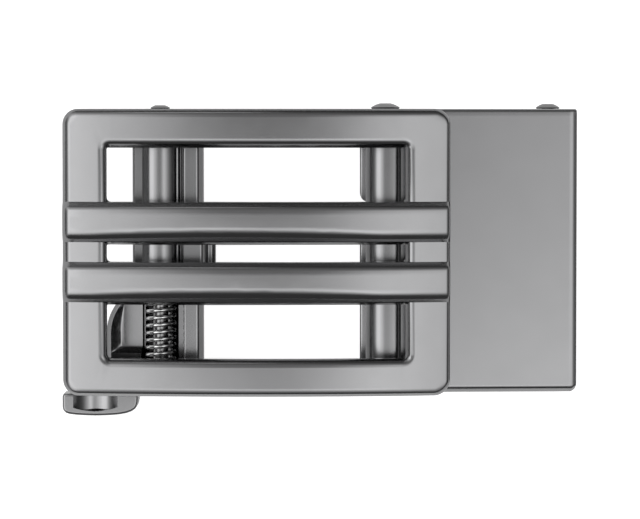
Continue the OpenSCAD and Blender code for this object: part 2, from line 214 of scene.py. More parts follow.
def satin_metal(name, colour, gloss, grain=1.0):
    """Plated or bare metal: a soft mottle in colour and gloss, and a fine tumbled grain."""
    finish = bpy.data.materials.new(name)
    finish.use_nodes = True
    nodes, links = finish.node_tree.nodes, finish.node_tree.links
    shader = nodes["Principled BSDF"]
    shader.inputs["Metallic"].default_value = 1.0
    where = nodes.new("ShaderNodeTexCoord").outputs["Object"]

    def cloud(scale, detail):
        noise = nodes.new("ShaderNodeTexNoise")
        noise.inputs["Scale"].default_value = scale
        noise.inputs["Detail"].default_value = detail
        links.new(where, noise.inputs["Vector"])
        return noise.outputs["Fac"]

    def between(low, high, source):
        span = nodes.new("ShaderNodeMapRange")
        for label, value in (("From Min", 0.3), ("From Max", 0.7), ("To Min", low), ("To Max", high)):
            span.inputs[label].default_value = value
        links.new(source, span.inputs["Value"])
        return span.outputs["Result"]

    tint = nodes.new("ShaderNodeMix")
    tint.data_type = "RGBA"
    tint.inputs["A"].default_value = (*[c * 0.985 for c in colour], 1)
    tint.inputs["B"].default_value = (*[min(1, c * 1.012) for c in colour], 1)
    links.new(between(0, 1, cloud(260, 3)), tint.inputs["Factor"])
    links.new(tint.outputs["Result"], shader.inputs["Base Color"])
    links.new(between(gloss * 0.95, gloss * 1.05, cloud(420, 4)), shader.inputs["Roughness"])
    tumbled = nodes.new("ShaderNodeBump")
    tumbled.inputs["Strength"].default_value = 0.12 * grain
    tumbled.inputs["Distance"].default_value = 0.00002
    links.new(cloud(9000, 2), tumbled.inputs["Height"])
    links.new(tumbled.outputs["Normal"], shader.inputs["Normal"])
    return finish


def face_z(x):
    return arch_z + math.sqrt(arch_r ** 2 - x * x)


def under_z(x):
    return arch_z + math.sqrt((arch_r - face_t) ** 2 - x * x)


def round_drop(share, deep):
    """Fall of a rounded edge, share from its outer limit, 0, to the flat, 1."""
    share = min(1, max(0, share))
    return deep * (1 - math.sqrt(1 - (1 - share) ** 2))


def near_fall(d, strip, r, lean):
    """Fall of an edge that faces the near side, d in from its limit."""
    turn = math.asin(max(0, math.sin(math.radians(lean)) - max(0, d - strip) / r))
    return r * (1 - math.cos(turn)) + max(0, strip - d) * strip_slope


def near_side(x):
    """A bar's near side, as far_side gives the far one. Its crown is wider in mid-span."""
    swell = max(0, 1 - ((x - swell_x) / swell_half) ** 2)
    r = near_crown + swell_crown * swell
    return near_foot + swell_foot * swell, near_top - r * (1 - math.cos(near_lean)), r, near_lean


def bar_rise(e, side, in_opening):
    """Height of a bar over the face, e in from its side: a steep foot, then a rounded crown."""
    foot, rise, r, lean = side
    if e < foot:
        low = rise - foot_slope * (foot - e)
        return low if in_opening and e > -tiny else max(0, low)
    turn = math.asin(max(0, math.sin(lean) - (e - foot) / r))
    return rise + r * (math.cos(turn) - math.cos(lean))


def edge_drop(x, y):
    """How far the face falls at its outer edges."""
    over_x, over_y = abs(x) - half_l + corner_r, abs(y) - half_w + corner_r
    inward = min(half_l - abs(x), half_w - abs(y))
    lean = 1.0 if half_w - abs(y) < half_l - abs(x) else 0.0
    if over_x > 0 and over_y > 0:
        reach = math.hypot(over_x, over_y)
        inward, lean = corner_r - reach, over_y / max(reach, tiny)
    at_right = max(0, 1 - lean ** 2) if x > 0 else 0
    r = edge_round + (right_edge_round - edge_round) * at_right
    beside = round_drop(inward / r, r)
    if y > 0:
        facing = round_drop(inward / far_edge_round + far_edge_cut, far_edge_round)
    else:
        facing = near_fall(inward, *near_edge)
    return beside + (facing - beside) * lean ** 2


def window_drop(x, y):
    """How far the face falls at the windows' rims."""
    ax, ay = abs(x), abs(y)
    stile_round, rail_round = right_round if x > 0 else left_round, near_round if y > 0 else far_round

    def beside(d):
        return near_fall(d, *right_edge) if x > 0 else round_drop(d / left_round, stile_deep)

    def along(d):
        return near_fall(d, *rail_edge) if y > 0 else round_drop(d / rail_round, rail_round * rail_deep)

    if ay < bar_in + tiny:
        return beside(ax - window_x)
    if ay < bar_out - tiny:
        return 0.0
    dx, dy = ax - window_x + window_r, ay - rail_y + window_r
    if dx <= 0 and dy <= 0:
        return beside(0)
    if dx <= 0:
        return along(dy - window_r)
    if dy <= 0:
        return beside(dx - window_r)

    # In a corner the rounding runs round from the one to the other as an ellipse
    low, high = -1.0, 3.0
    for _ in range(40):
        mid = (low + high) / 2
        a, b = window_r + mid * stile_round, window_r + mid * rail_round
        inside = a > 0 and b > 0 and (dx / a) ** 2 + (dy / b) ** 2 < 1
        low, high = (low, mid) if inside else (mid, high)
    turn = math.atan2(dy / (window_r + low * rail_round), dx / (window_r + low * stile_round))
    side, rail = beside(low * stile_round), along(low * rail_round)
    return side + (rail - side) * math.sin(turn) ** 2


def top_z(x, y):
    """Height of the face with its bars and rounded edges."""
    side = far_side if y > math.copysign(bar_y, y) else near_side(x)
    in_opening = abs(x) < window_x - window_r + 0.05
    rise = bar_rise(bar_half - abs(abs(y) - bar_y), side, in_opening)
    at_side = min(abs(abs(y) - bar_out), abs(abs(y) - bar_in)) < tiny
    if at_side and in_opening:
        return face_z(x) + min(-under_bar, rise)
    return face_z(x) + rise - max(edge_drop(x, y), window_drop(x, y))


# The face's plan: lines along every edge and round, crossed by lines over the arch
quarters = ((1, 1, 0), (-1, 1, 90), (-1, -1, 180), (1, -1, 270))
rounding = [1 - math.sin(math.radians(a)) for a in (90, 76, 64, 54, 45, 37, 29, 21, 13, 6, 0)]
crown_steps = (0, 0.05, 0.13, 0.22, 0.32, 0.42, 0.52, 0.62, 0.78, 0.95, 1.14, 1.35, 1.6, 1.88, 2.2)
near_steps = (0.1, near_edge[0], 0.5, 0.6, 0.7, 0.82, 0.95, 1.1)
rail_steps = (rail_edge[0], 0.3, 0.4, 0.5, 0.6, 0.7, 0.82, 0.95)
cross_pitch, cross_count = 1.35, 18
lines = []
for share in rounding:
    r = corner_r - share * edge_round
    loop = []
    for sx, sy, a0 in quarters:
        loop += arc(sx * (half_l - corner_r), sy * (half_w - corner_r), r, a0, a0 + 90, 12)
    lines.append(loop + loop[:1])
for side in (1, -1):
    rail_round = near_round if side > 0 else far_round
    for share in rounding:
        cx, cy, b = window_x - window_r, rail_y - window_r, window_r + share * rail_round
        halves = []
        for a in (window_r + share * right_round, window_r + share * left_round):
            corner = [(cx + a * math.cos(t), cy + b * math.sin(t))
                      for t in (math.pi / 2 * k / 10 for k in range(11))]
            ends = [(cx + a, bar_out)] if share else arc(cx, bar_out + window_r, window_r, -90, 0, 8)
            halves.append(ends + corner)
        whole = halves[0] + [(-x, y) for x, y in reversed(halves[1])]
        lines.append([(x, side * y) for x, y in whole + (whole[:1] if not share else [])])
for share in rounding[1:]:
    for x in (window_x + share * right_round, -window_x - share * left_round):
        lines.append([(x, -bar_in), (x, bar_in)])
middle = []
for sx, sy, a0 in quarters:
    middle += arc(sx * (window_x - window_r), sy * (bar_in - window_r), window_r, a0, a0 + 90, 8)
lines.append(middle + middle[:1])
for side in (1, -1):
    for e in crown_steps:
        for y in {bar_y + bar_half - e, bar_y - bar_half + e}:
            lines.append([(-half_l, side * y), (half_l, side * y)])
for d in near_steps:
    lines.append([(-half_l + corner_r, -half_w + d), (half_l - corner_r, -half_w + d)])
for d in rail_steps:
    lines.append([(-window_x + window_r, rail_y + d), (window_x - window_r, rail_y + d)])
for k in range(-cross_count, cross_count + 1):
    lines.append([(k * cross_pitch, -half_w), (k * cross_pitch, half_w)])
for x in (window_x - window_r - 0.1, -window_x + window_r + 0.1):
    lines.append([(x, -half_w), (x, half_w)])

flat, edges = [], []
for line in lines:
    start = len(flat)
    flat += [Vector(p) for p in line]
    edges += [(start + i, start + i + 1) for i in range(len(line) - 1)]
plan, _, plan_faces, _, _, _ = delaunay_2d_cdt(flat, edges, [], 4, 1e-5)


def in_window(x, y):
    ax, ay = abs(x), abs(y)
    if ay < bar_in:
        cx, cy, mid_y = window_x - window_r, bar_in - window_r, 0
    elif bar_out < ay < rail_y:
        cx, cy, mid_y = window_x - window_r, (rail_y - bar_out) / 2 - window_r, (rail_y + bar_out) / 2
    else:
        return False
    dx, dy = max(0, ax - cx), max(0, abs(ay - mid_y) - cy)
    return math.hypot(dx, dy) < window_r


def middle_of(face):
    area = cx = cy = 0
    for i, j in zip(face, list(face[1:]) + [face[0]]):
        (ax, ay), (bx, by) = plan[i], plan[j]
        part = ax * by - bx * ay
        area, cx, cy = area + part, cx + (ax + bx) * part, cy + (ay + by) * part
    if abs(area) < 1e-9:
        return plan[face[0]]
    return cx / area / 3, cy / area / 3


# The face's top and its flat underside on the table, walled round every edge. The casting's
# hollow is cut out of it below.
kept = [f for f in plan_faces if not in_window(*middle_of(f))]
n = len(plan)
faces = [tuple(f) for f in kept] + [tuple(i + n for i in reversed(f)) for f in kept]
sides = {(i, j) for f in kept for i, j in zip(f, list(f[1:]) + [f[0]])}
walls = [(j, i, i + n, j + n) for i, j in sides if (j, i) not in sides]
rims = {i for wall in walls for i in wall[:2]
        if abs(plan[i][0]) < window_x + 0.1 and abs(plan[i][1]) < rail_y + 0.1}


def placed(i):
    """A point of the face. Edges and rims that face the near side reach out, and rims down."""
    x, y = plan[i]
    z = top_z(x, y)
    lean = 0
    if i in rims:
        lean = max(min(1, max(0, (y - top + window_r) / window_r)) ** 2
                   for top in (rail_y, bar_in, -bar_out) if y < top + 0.01)
        z += (min(z, face_z(x) - rim_fall) - z) * lean
    return x, y - rim_out * lean - near_out * max(0, -y - near_from) / (half_w - near_from), z


points = [placed(i) for i in range(n)]
points += [(x, y, 0.0) for x, y, _ in points]
faces += walls
shell = piece_from("frame_casting", points, faces)

# Cut out below: the channel for the strap, a shallow relief along both side walls, the ears'
# outline, the notch for the lever and the bores for the pins
past_end, past_side = 30, 25
under = [(1.2 * k, under_z(1.2 * k)) for k in range(-25, 26)]
channel = cast("channel", [(-past_end, -5), (past_end, -5)] + under[::-1], -inner_w, inner_w, 0)
relief_x, relief_half, relief_up, relief_lean = -4.4, 16.6, 1.2, 8.26
relief_r = (relief_half ** 2 + relief_up ** 2) / (2 * relief_up)
relief = cast("relief", [(-past_end, -2), (-past_end, -1), (relief_x - relief_half, -1)]
              + arc(relief_x, relief_up - relief_r, relief_r, 90 + relief_lean, 90 - relief_lean, 40)
              + [(relief_x + relief_half, -1), (relief_x + relief_half, -2)], -past_side, past_side, 0)
shoulder_x, shoulder_z = (c + ear_r * math.sqrt(0.5) for c in (hinge_x, hinge_z))
rise_end = (under_z(half_l) - shoulder_z) / (half_l - shoulder_x)
ear_cut = cast("ear_cut", [(hinge_x, -1)] + arc(hinge_x, hinge_z, ear_r, -90, 45, 36)
               + [(past_end, shoulder_z + rise_end * (past_end - shoulder_x)), (past_end, -1)],
               -past_side, past_side, 0)
notch_left, notch_right, notch_top, notch_in, pressed_bore = -22, -16, 7.915, -17, 1.12
notch = cast("notch", [(notch_left, -1), (notch_right, -1), (notch_right, notch_top),
                       (notch_left, notch_top)], -past_side, notch_in, 0, reach=[0, 0, 0.6, 0.6])
bores = [bar_round("bore", x, z, pressed_bore, -past_side, past_side, 0)
         for x, z in ((pawl_x, pawl_z), (hinge_x, hinge_z))]
work(shell, [channel, relief, ear_cut, notch] + bores, "DIFFERENCE")

gunmetal = satin_metal("satin gunmetal plating", (0.27, 0.27, 0.274), 0.19)
finished(shell, gunmetal, "frame_casting", "frame", "front_frame")

# Pawl and lever: a second zinc casting, plated as the frame is. Its barrel turns on the
# pin, its tooth drops into the strap's track through the base plate's rib, and its arm
# runs out through the side wall to the scooped finger tab.
base_z, base_top, inside_w = 2.865, 4.465, 17.7
rib = [(-17.8, base_z), (-7.65, base_z), (-7.65, 6.5), (-8.3, 7.87), (-10.4, 7.95), (-10.4, base_top),
       (-17.8, base_top)]
pawl = cast("pawl_casting", rib, -inside_w, inside_w, reach=[0.35, 0.35, 0.3, 0.35, 0.3, 0.2, 0.4])
tooth_w = 5
tooth = cast("tooth", [(-10.3, base_z + 0.1), (-9.7, base_z + 0.1), (-5.9, 4.615), (-5.9, 6.615),
                       (-6.4, 7.015), (-7.0, 7.015), (-7.7, 8.85), (-10.3, 8.915)],
             -tooth_w, tooth_w, 0.25, reach=[0, 0, 0.2, 0.2, 0.15, 0.2, 0.35, 0])
barrel_x, barrel_near, barrel_h, barrel_r = -13.8, -6, 2.55, 3.5
barrel_top = arc(barrel_x, pawl_z + barrel_h - barrel_r, barrel_r, 133, 59, 24)
valley = [(-11.75, 6.2), (-11.55, 5.3), (-11.2, 5.25), (-11.05, 4.8), (-10.75, 4.75), (-10.55, 4.3)]
barrel = cast("barrel", [(-16.25, base_z + 0.2)] + barrel_top + valley
              + [(-10.3, 4.3), (-10.3, base_z + 0.2)], barrel_near, inside_w - 0.1, 0.2,
              reach=[0] * 26 + [0.2] + [0.1] * 5 + [0, 0])

# The arm is rounded off in a wide bow, and its edge is a rounded skirt that leans outward
bow_x, bow_y, bow_r, pocket_r = -14.6, -12, 6.5, 6.35
bow = arc(bow_x, bow_y, bow_r, 129.7, 180, 14)
arm = cast("arm", [(-21.1, -22.1), (-18.2, -22.1), (-18.2, -20), (-16.6, -20), (-16.6, -7)] + bow,
           base_z, base_top, 0.22, along_z, reach=[0.3, 0, 0.4, 0.5, 0.4] + [0] * len(bow))
edge = [(-21.1, -16.6), (-17.4, -16.6), (-17.4, -7.4)] + arc(bow_x, bow_y, bow_r, 118, 180, 14)
skirt_rings = ((-0.3, base_z + 0.02), (-0.5, base_z + 0.2), (-0.45, base_z + 0.5),
               (0.25, base_top - 0.25))
skirt = skin("skirt", [[(x, y, z) for x, y in inset(edge, back)] for back, z in skirt_rings])

# The pocket in the arm's top: its left and near walls slope in to a floor that falls a
# little to the left
pocket_x, pocket_y, pocket_in, pocket_up, pocket_tilt, wall_end = -20.95, -14.85, 1.9, 1.15, 0.075, 0.7


def pocket_ring(share):
    """The pocket's outline, share of the way in from its rim to its floor."""
    low_x, low_y = pocket_x + pocket_in * share, pocket_y + pocket_up * share
    curve = [(x + share * max(0, pocket_x + pocket_in - x), y)
             for x, y in arc(bow_x, bow_y, pocket_r, 118, 180, 16)]
    corner = eased([(low_x, -10.2), (low_x, low_y), (-16, low_y)], 0.35 + 0.4 * share, 6, closed=False)
    return [(-16, -6.5), (-17.35, -6.5)] + curve + corner[1:]


levels = [(pocket_ring(0), 5.4, 0.0)]
for share, deep in ((0, 0), (0.36, 0.5), (wall_end, 0.93), (0.79, 0.985), (0.89, 1.02), (1, 1.03)):
    tilt = pocket_tilt * min(1, share / wall_end)
    levels.append((pocket_ring(share), base_top + 0.02 - deep, tilt))
pocket = skin("pocket", [[(x, y, z + tilt * (x - pocket_x - pocket_in)) for x, y in ring]
                         for ring, z, tilt in levels])

# The finger tab, with its outline from the frame's side round to the frame's side
tab_x, tab_y, tab_low, tab_top = -27.75, -20.5, 1.065, 6.265
tab_line = [(tab_x + 0.2, tab_y), (tab_x, tab_y - 0.3), (tab_x, -22.45), (-27.6, -22.95),
            (-27.25, -23.28), (-26.65, -23.46), (-25.6, -23.57), (-24.6, -23.63), (-23.1, -23.67),
            (-21.6, -23.64), (-20.5, -23.58), (-19.5, -23.48), (-18.6, -23.31), (-17.85, -23.02),
            (-17.35, -22.65), (-17.1, -22.2), (-16.98, -21.6), (-16.95, -21.0), (-17.1, tab_y)]
tab = cast("tab", tab_line, tab_low, tab_top, 0.4, along_z, 5)

# The scoop for the finger runs in from the frame's side and stops short of the tab's rim
scoop_x, scoop_z, scoop_r, dish_y, dish_bow = -23.05, 8.55, 3.9, -23.02, 0.055
dish = [(-26.8, -19.5), (-26.8, -22.4)]
dish += [(x, dish_y + dish_bow * (x + 23.2) ** 2) for x in (-26.5 + 0.55 * k for k in range(13))]
dish += [(-19.5, -22.4), (-19.5, -19.5)]
scoop = bar_round("scoop", scoop_x, scoop_z, scoop_r, -25, -19, 0, 120)
work(scoop, [cast("dish", dish, 4.5, 9, 0.7, along_z, 6)], "INTERSECT")
work(tab, [scoop], "DIFFERENCE")
work(pawl, [tooth, barrel, arm, skirt, tab], "UNION")

# Under the spring lies a trough with three grooves, and a slot clears the spring's leg
trough = cast("trough", [(-16.62, 6), (-16.62, 4.6), (-16.3, 3.15), (-15.95, 4.2), (-15.55, 3.15),
                         (-15.1, 4.0), (-14.6, 3.15), (-13.2, 3.15), (-12.6, 4.0), (-12.2, 3.15),
                         (-11.75, 4.2), (-11.3, 3.3), (-11.15, 6)], -17.2, -6.2, 0)
leg_slot = cast("leg_slot", [(-17.3, 3.38), (-15.75, 3.38), (-15.75, 5.2), (-17.3, 5.2)],
                -7.0, -6.13, 0)
loose_bore, bore_end = 1.15, 19
pawl_bore = bar_round("bore", pawl_x, pawl_z, loose_bore, -bore_end, bore_end, 0)
work(pawl, [pocket, trough, leg_slot, pawl_bore], "DIFFERENCE")
finished(pawl, gunmetal, "pawl_casting", "pawl", "pawl_lever")

# Pins: turned steel rivets with a low domed head, peened in the middle, and a chamfered
# tail that stands a little out of the wall. Two ride in the frame and the third in the clamp.
head_gap, tail_out, peen_r = 0.03, 0.1, 0.7
jaw_x, jaw_z = 41.51, 1.75


def calc(tree, how, a, b=0.0):
    node = tree.nodes.new("ShaderNodeMath")
    node.operation = how
    for value, socket in zip((a, b), node.inputs):
        if isinstance(value, (int, float)):
            socket.default_value = value
        else:
            tree.links.new(value, socket)
    return node.outputs[0]


def new_tree(name, sizes, counts):
    """A Geometry Nodes tree with named inputs, and its input and output nodes."""
    tree = bpy.data.node_groups.new(name, "GeometryNodeTree")
    tree.interface.new_socket("Geometry", in_out="INPUT", socket_type="NodeSocketGeometry")
    for label in sizes:
        tree.interface.new_socket(label, in_out="INPUT", socket_type="NodeSocketFloat")
    for label in counts:
        tree.interface.new_socket(label, in_out="INPUT", socket_type="NodeSocketInt")
    tree.interface.new_socket("Finish", in_out="INPUT", socket_type="NodeSocketMaterial")
    tree.interface.new_socket("Geometry", in_out="OUTPUT", socket_type="NodeSocketGeometry")
    return tree, tree.nodes.new("NodeGroupInput"), tree.nodes.new("NodeGroupOutput")


def close_tree(tree, start, end, shape):
    real = tree.nodes.new("GeometryNodeRealizeInstances")
    paint = tree.nodes.new("GeometryNodeSetMaterial")
    tree.links.new(shape, real.inputs["Geometry"])
    tree.links.new(real.outputs["Geometry"], paint.inputs["Geometry"])
    tree.links.new(start.outputs["Finish"], paint.inputs["Material"])
    tree.links.new(paint.outputs["Geometry"], end.inputs["Geometry"])


def grown(name, tree, sizes, finish):
    """Runs a tree on an empty piece and keeps the result as its plain mesh."""
    piece = bpy.data.objects.new(name, bpy.data.meshes.new(name))
    bpy.context.scene.collection.objects.link(piece)
    step = piece.modifiers.new(name, "NODES")
    step.node_group = tree
    for item in tree.interface.items_tree:
        if item.in_out == "INPUT" and item.name in sizes:
            step[item.identifier] = sizes[item.name]
        elif item.in_out == "INPUT" and item.name == "Finish":
            step[item.identifier] = finish
    seen = piece.evaluated_get(bpy.context.evaluated_depsgraph_get())
    mesh = bpy.data.meshes.new_from_object(seen)
    piece.modifiers.clear()
    piece.data = mesh
    return piece


def rivet_tree():
    """A pin as a grid: its columns go round it, and its rows run from the tail to the dome."""
    sizes = ("Pin Radius", "Tail", "Seat", "Head Radius", "Head Height", "Peen Radius",
             "Centre X", "Centre Z")
    tree, start, end = new_tree("domed rivet", sizes, ("Profile Points", "Sides"))
    get, link, new = start.outputs, tree.links.new, tree.nodes.new
    grid = new("GeometryNodeMeshGrid")
    link(get["Profile Points"], grid.inputs["Vertices X"])
    link(get["Sides"], grid.inputs["Vertices Y"])
    spot = new("ShaderNodeSeparateXYZ")
    link(new("GeometryNodeInputPosition").outputs[0], spot.inputs[0])
    foot_points = 5  # the profile's points before the dome begins
    last = calc(tree, "SUBTRACT", get["Profile Points"], 1)
    row = calc(tree, "MULTIPLY", calc(tree, "ADD", spot.outputs["X"], 0.5), last)
    turn = calc(tree, "MULTIPLY", calc(tree, "ADD", spot.outputs["Y"], 0.5), 2 * math.pi)
    lip = calc(tree, "MULTIPLY", get["Head Height"], 0.22)
    dome_h = calc(tree, "SUBTRACT", get["Head Height"], lip)
    square = calc(tree, "MULTIPLY", get["Head Radius"], get["Head Radius"])
    dome_r = calc(tree, "DIVIDE", calc(tree, "ADD", square, calc(tree, "MULTIPLY", dome_h, dome_h)),
                  calc(tree, "MULTIPLY", dome_h, 2))
    widest = calc(tree, "ARCSINE", calc(tree, "DIVIDE", get["Head Radius"], dome_r))
    over, whole = (calc(tree, "SUBTRACT", value, foot_points) for value in (row, last))
    share = calc(tree, "DIVIDE", over, whole)
    lean = calc(tree, "MULTIPLY", widest, calc(tree, "SUBTRACT", 1, share))
    dome_out = calc(tree, "MULTIPLY", dome_r, calc(tree, "SINE", lean))
    fall = calc(tree, "MULTIPLY", dome_r, calc(tree, "SUBTRACT", calc(tree, "COSINE", lean), 1))
    near = calc(tree, "DIVIDE", dome_out, get["Peen Radius"])
    hollow = calc(tree, "MAXIMUM", calc(tree, "SUBTRACT", 1, calc(tree, "MULTIPLY", near, near)), 0)
    crown = calc(tree, "ADD", get["Seat"], calc(tree, "ADD", get["Head Height"], fall))
    peened = calc(tree, "MULTIPLY", hollow, calc(tree, "MULTIPLY", lip, 0.9))
    crown = calc(tree, "SUBTRACT", crown, peened)
    chamfer = calc(tree, "MULTIPLY", get["Pin Radius"], 0.14)
    radius, seat, tail = get["Pin Radius"], get["Seat"], get["Tail"]
    under_head = calc(tree, "SUBTRACT", get["Head Radius"], calc(tree, "MULTIPLY", lip, 0.6))
    outs = (0.0, calc(tree, "SUBTRACT", radius, chamfer), radius, radius, under_head, dome_out)
    ups = (tail, tail, calc(tree, "ADD", tail, chamfer), seat, seat, crown)

    def pick(values):
        choice = new("GeometryNodeIndexSwitch")
        choice.data_type = "FLOAT"
        while len(choice.index_switch_items) < len(values):
            choice.index_switch_items.new()
        link(calc(tree, "MINIMUM", calc(tree, "ROUND", row), len(values) - 1), choice.inputs["Index"])
        for value, socket in zip(values, choice.inputs[1:]):
            if isinstance(value, float):
                socket.default_value = value
            else:
                link(value, socket)
        return choice.outputs[0]

    out = pick(outs)
    place = new("ShaderNodeCombineXYZ")
    link(pick(ups), place.inputs["Y"])
    for axis, part in (("X", "COSINE"), ("Z", "SINE")):
        shift = calc(tree, "MULTIPLY", out, calc(tree, part, turn))
        link(calc(tree, "ADD", get["Centre " + axis], shift), place.inputs[axis])
    move = new("GeometryNodeSetPosition")
    link(grid.outputs["Mesh"], move.inputs["Geometry"])
    link(place.outputs[0], move.inputs["Position"])
    close = new("GeometryNodeMergeByDistance")
    close.inputs["Distance"].default_value = tiny
    link(move.outputs[0], close.inputs["Geometry"])
    close_tree(tree, start, end, close.outputs[0])
    return tree


def turned_out(piece):
    shell = bmesh.new()
    shell.from_mesh(piece.data)
    bmesh.ops.recalc_face_normals(shell, faces=shell.faces)
    shell.to_mesh(piece.data)
    shell.free()


rivet = rivet_tree()
pin_steel = satin_metal("turned pin steel", (0.24, 0.24, 0.24), 0.2, 0.7)
for name, x, z, r, head_r, head_h, body in (
        ("pawl_pin", pawl_x, pawl_z, 1.1, 1.4, 0.6, "frame"),
        ("hinge_pin", hinge_x, hinge_z, 1.1, 2.05, 0.85, "frame"),
        ("jaw_pin", jaw_x, jaw_z, 0.9, 1.7, 0.8, "clamp")):
    centre = metres((x, 0, z))
    seat, tail = metres((0, half_w + head_gap, 0)).y, metres((0, -half_w - tail_out, 0)).y
    pin = grown(name + "_steel", rivet, {
        "Pin Radius": r / 1000, "Tail": tail, "Seat": seat, "Head Radius": head_r / 1000,
        "Head Height": head_h / 1000, "Peen Radius": peen_r / 1000, "Centre X": centre.x,
        "Centre Z": centre.z, "Profile Points": 26, "Sides": 49}, pin_steel)
    turned_out(pin)
    finished(pin, pin_steel, "pin_steel", body, name)

# Spring: nine turns of bright wire round the bare stretch of the pawl's pin. One leg
# presses on the base plate and the other is held in a blind hole in the side wall.
coil_r, coil_turns, coil_pitch, wire_r, start_turn = 1.9, 9 + 1 / 6, 1.03, 0.31, math.radians(150)
coil_y, coil_end_y = -6.57, -16.01
coil_start = (pawl_x + coil_r * math.cos(start_turn), coil_y, pawl_z + coil_r * math.sin(start_turn))
coil_end = (pawl_x, coil_end_y, pawl_z + coil_r)
plate_end, bend, hole_end = (-17.18, coil_y, 4.79), (-13.35, -16.28, 8.915), (-13.35, -19.1, 8.915)
spring_sizes = ("Coil Radius", "Turns", "Length", "Wire Radius", "Start Turn")
spring_tree, start, end = new_tree("torsion spring", spring_sizes, ("Steps a Turn", "Wire Sides"))
get, link, new = start.outputs, spring_tree.links.new, spring_tree.nodes.new
coil = new("GeometryNodeCurveSpiral")
coil.inputs["Reverse"].default_value = True
link(get["Steps a Turn"], coil.inputs["Resolution"])
for label, source in (("Rotations", "Turns"), ("Start Radius", "Coil Radius"),
                      ("End Radius", "Coil Radius"), ("Height", "Length")):
    link(get[source], coil.inputs[label])
spin, lay = new("GeometryNodeTransform"), new("GeometryNodeTransform")
angle = new("ShaderNodeCombineXYZ")
link(get["Start Turn"], angle.inputs["Z"])
link(coil.outputs["Curve"], spin.inputs["Geometry"])
link(angle.outputs[0], spin.inputs["Rotation"])
link(spin.outputs["Geometry"], lay.inputs["Geometry"])
lay.inputs["Rotation"].default_value = (math.pi / 2, 0, 0)
lay.inputs["Translation"].default_value = metres((pawl_x, coil_y, pawl_z))
joined = new("GeometryNodeJoinGeometry")
link(lay.outputs["Geometry"], joined.inputs["Geometry"])
for a, b in ((coil_start, plate_end), (coil_end, bend), (bend, hole_end)):
    leg = new("GeometryNodeCurvePrimitiveLine")
    leg.inputs["Start"].default_value, leg.inputs["End"].default_value = metres(a), metres(b)
    link(leg.outputs["Curve"], joined.inputs["Geometry"])
wire_path, one = new("GeometryNodeCurveToMesh"), new("GeometryNodeMeshToCurve")
welded = new("GeometryNodeMergeByDistance")
welded.inputs["Distance"].default_value = 0.00008
link(joined.outputs[0], wire_path.inputs["Curve"])
link(wire_path.outputs[0], welded.inputs["Geometry"])
link(welded.outputs[0], one.inputs["Mesh"])
section, drawn = new("GeometryNodeCurvePrimitiveCircle"), new("GeometryNodeCurveToMesh")
link(get["Wire Sides"], section.inputs["Resolution"])
link(get["Wire Radius"], section.inputs["Radius"])
link(one.outputs[0], drawn.inputs["Curve"])
link(section.outputs["Curve"], drawn.inputs["Profile Curve"])
drawn.inputs["Fill Caps"].default_value = True
close_tree(spring_tree, start, end, drawn.outputs["Mesh"])
spring_wire = satin_metal("bright spring wire", (0.62, 0.62, 0.62), 0.16, 0.4)
spring = grown("spring_wire", spring_tree, {
    "Coil Radius": coil_r / 1000, "Turns": coil_turns, "Length": coil_pitch * coil_turns / 1000,
    "Wire Radius": wire_r / 1000, "Start Turn": start_turn, "Steps a Turn": 30,
    "Wire Sides": 12}, spring_wire)
turned_out(spring)
finished(spring, spring_wire, "spring_wire", "frame", "pawl_spring", sharp=60)

# Strap clamp: the third casting, hinged to the frame's ears. A thin cover and two cheeks
# make the box that the strap's end slides into, and the neck ends in the rolled knuckle.
cover_x, mouth_x, cover_h, cover_t, cheek_y = 24.65, 45.41, 7.9, 1.1, 18.4
mouth_fall, near_out_y, chamfer_z = 1.5, 0.3, 1.7
nip_in, nip_deep = 0.75, 0.7


def cover_z(x):
    return cover_h - mouth_fall * (x - cover_x) / (mouth_x - cover_x)


def clamp_ring(x, back, roll):
    """The clamp's outside at x: square cheeks, a chamfer on the near one, a soft far edge."""
    near_y = -half_w - near_out_y
    section = [(near_y, 0), (half_w, 0), (half_w, cover_h - 0.45), (half_w - 0.35, cover_h),
               (-half_w + 0.3, cover_h), (near_y, cover_h - chamfer_z)]
    reach = [less(r, back, 0.05) for r in (0.3, 0.3, 0.4, 0.7, 0.5, 0.5)]
    ring = [(x, y, z * (cover_z(x) - roll) / cover_h) for y, z in eased(inset(section, back), reach)]
    nip = nip_deep * max(0, x - mouth_x + nip_in) ** 1.3
    return [(px, y + nip * min(1, max(0, -y - half_w + 1)), z) for px, y, z in ring]


# The rings: a rounded end by the neck, four over the mouth's rolled edge, and its rounded end
lead_in, mouth_roll, roll_steps = 1.15, 0.14, 5
neck_round, mouth_round = 0.4, 0.3
rings = [clamp_ring(cover_x + along, back, 0) for along, back in round_end(neck_round)[::-1]]
rings += [clamp_ring(mouth_x - lead_in * (1 - k / roll_steps), 0, mouth_roll * (k / roll_steps) ** 2)
          for k in range(4)]
rings += [clamp_ring(mouth_x - along, back, mouth_roll) for along, back in round_end(mouth_round)]
clamp = skin("clamp_casting", rings)
from_x, to_x = cover_x - 1, mouth_x + 1
hollow = cast("hollow", [(from_x, -1), (to_x, -1), (to_x, cover_z(to_x) - cover_t),
                         (from_x, cover_z(from_x) - cover_t)], -cheek_y, cheek_y, 0)
work(clamp, [hollow], "DIFFERENCE")
neck_z, neck_end, sunk = 6.8, cover_x + 0.6, 0.02
neck = cast("neck", [(hinge_x, neck_z), (neck_end, neck_z), (neck_end, cover_z(neck_end) - sunk),
                     (cover_x - 0.2, cover_h - sunk), (hinge_x, cover_h - sunk)], -inside_w, inside_w)

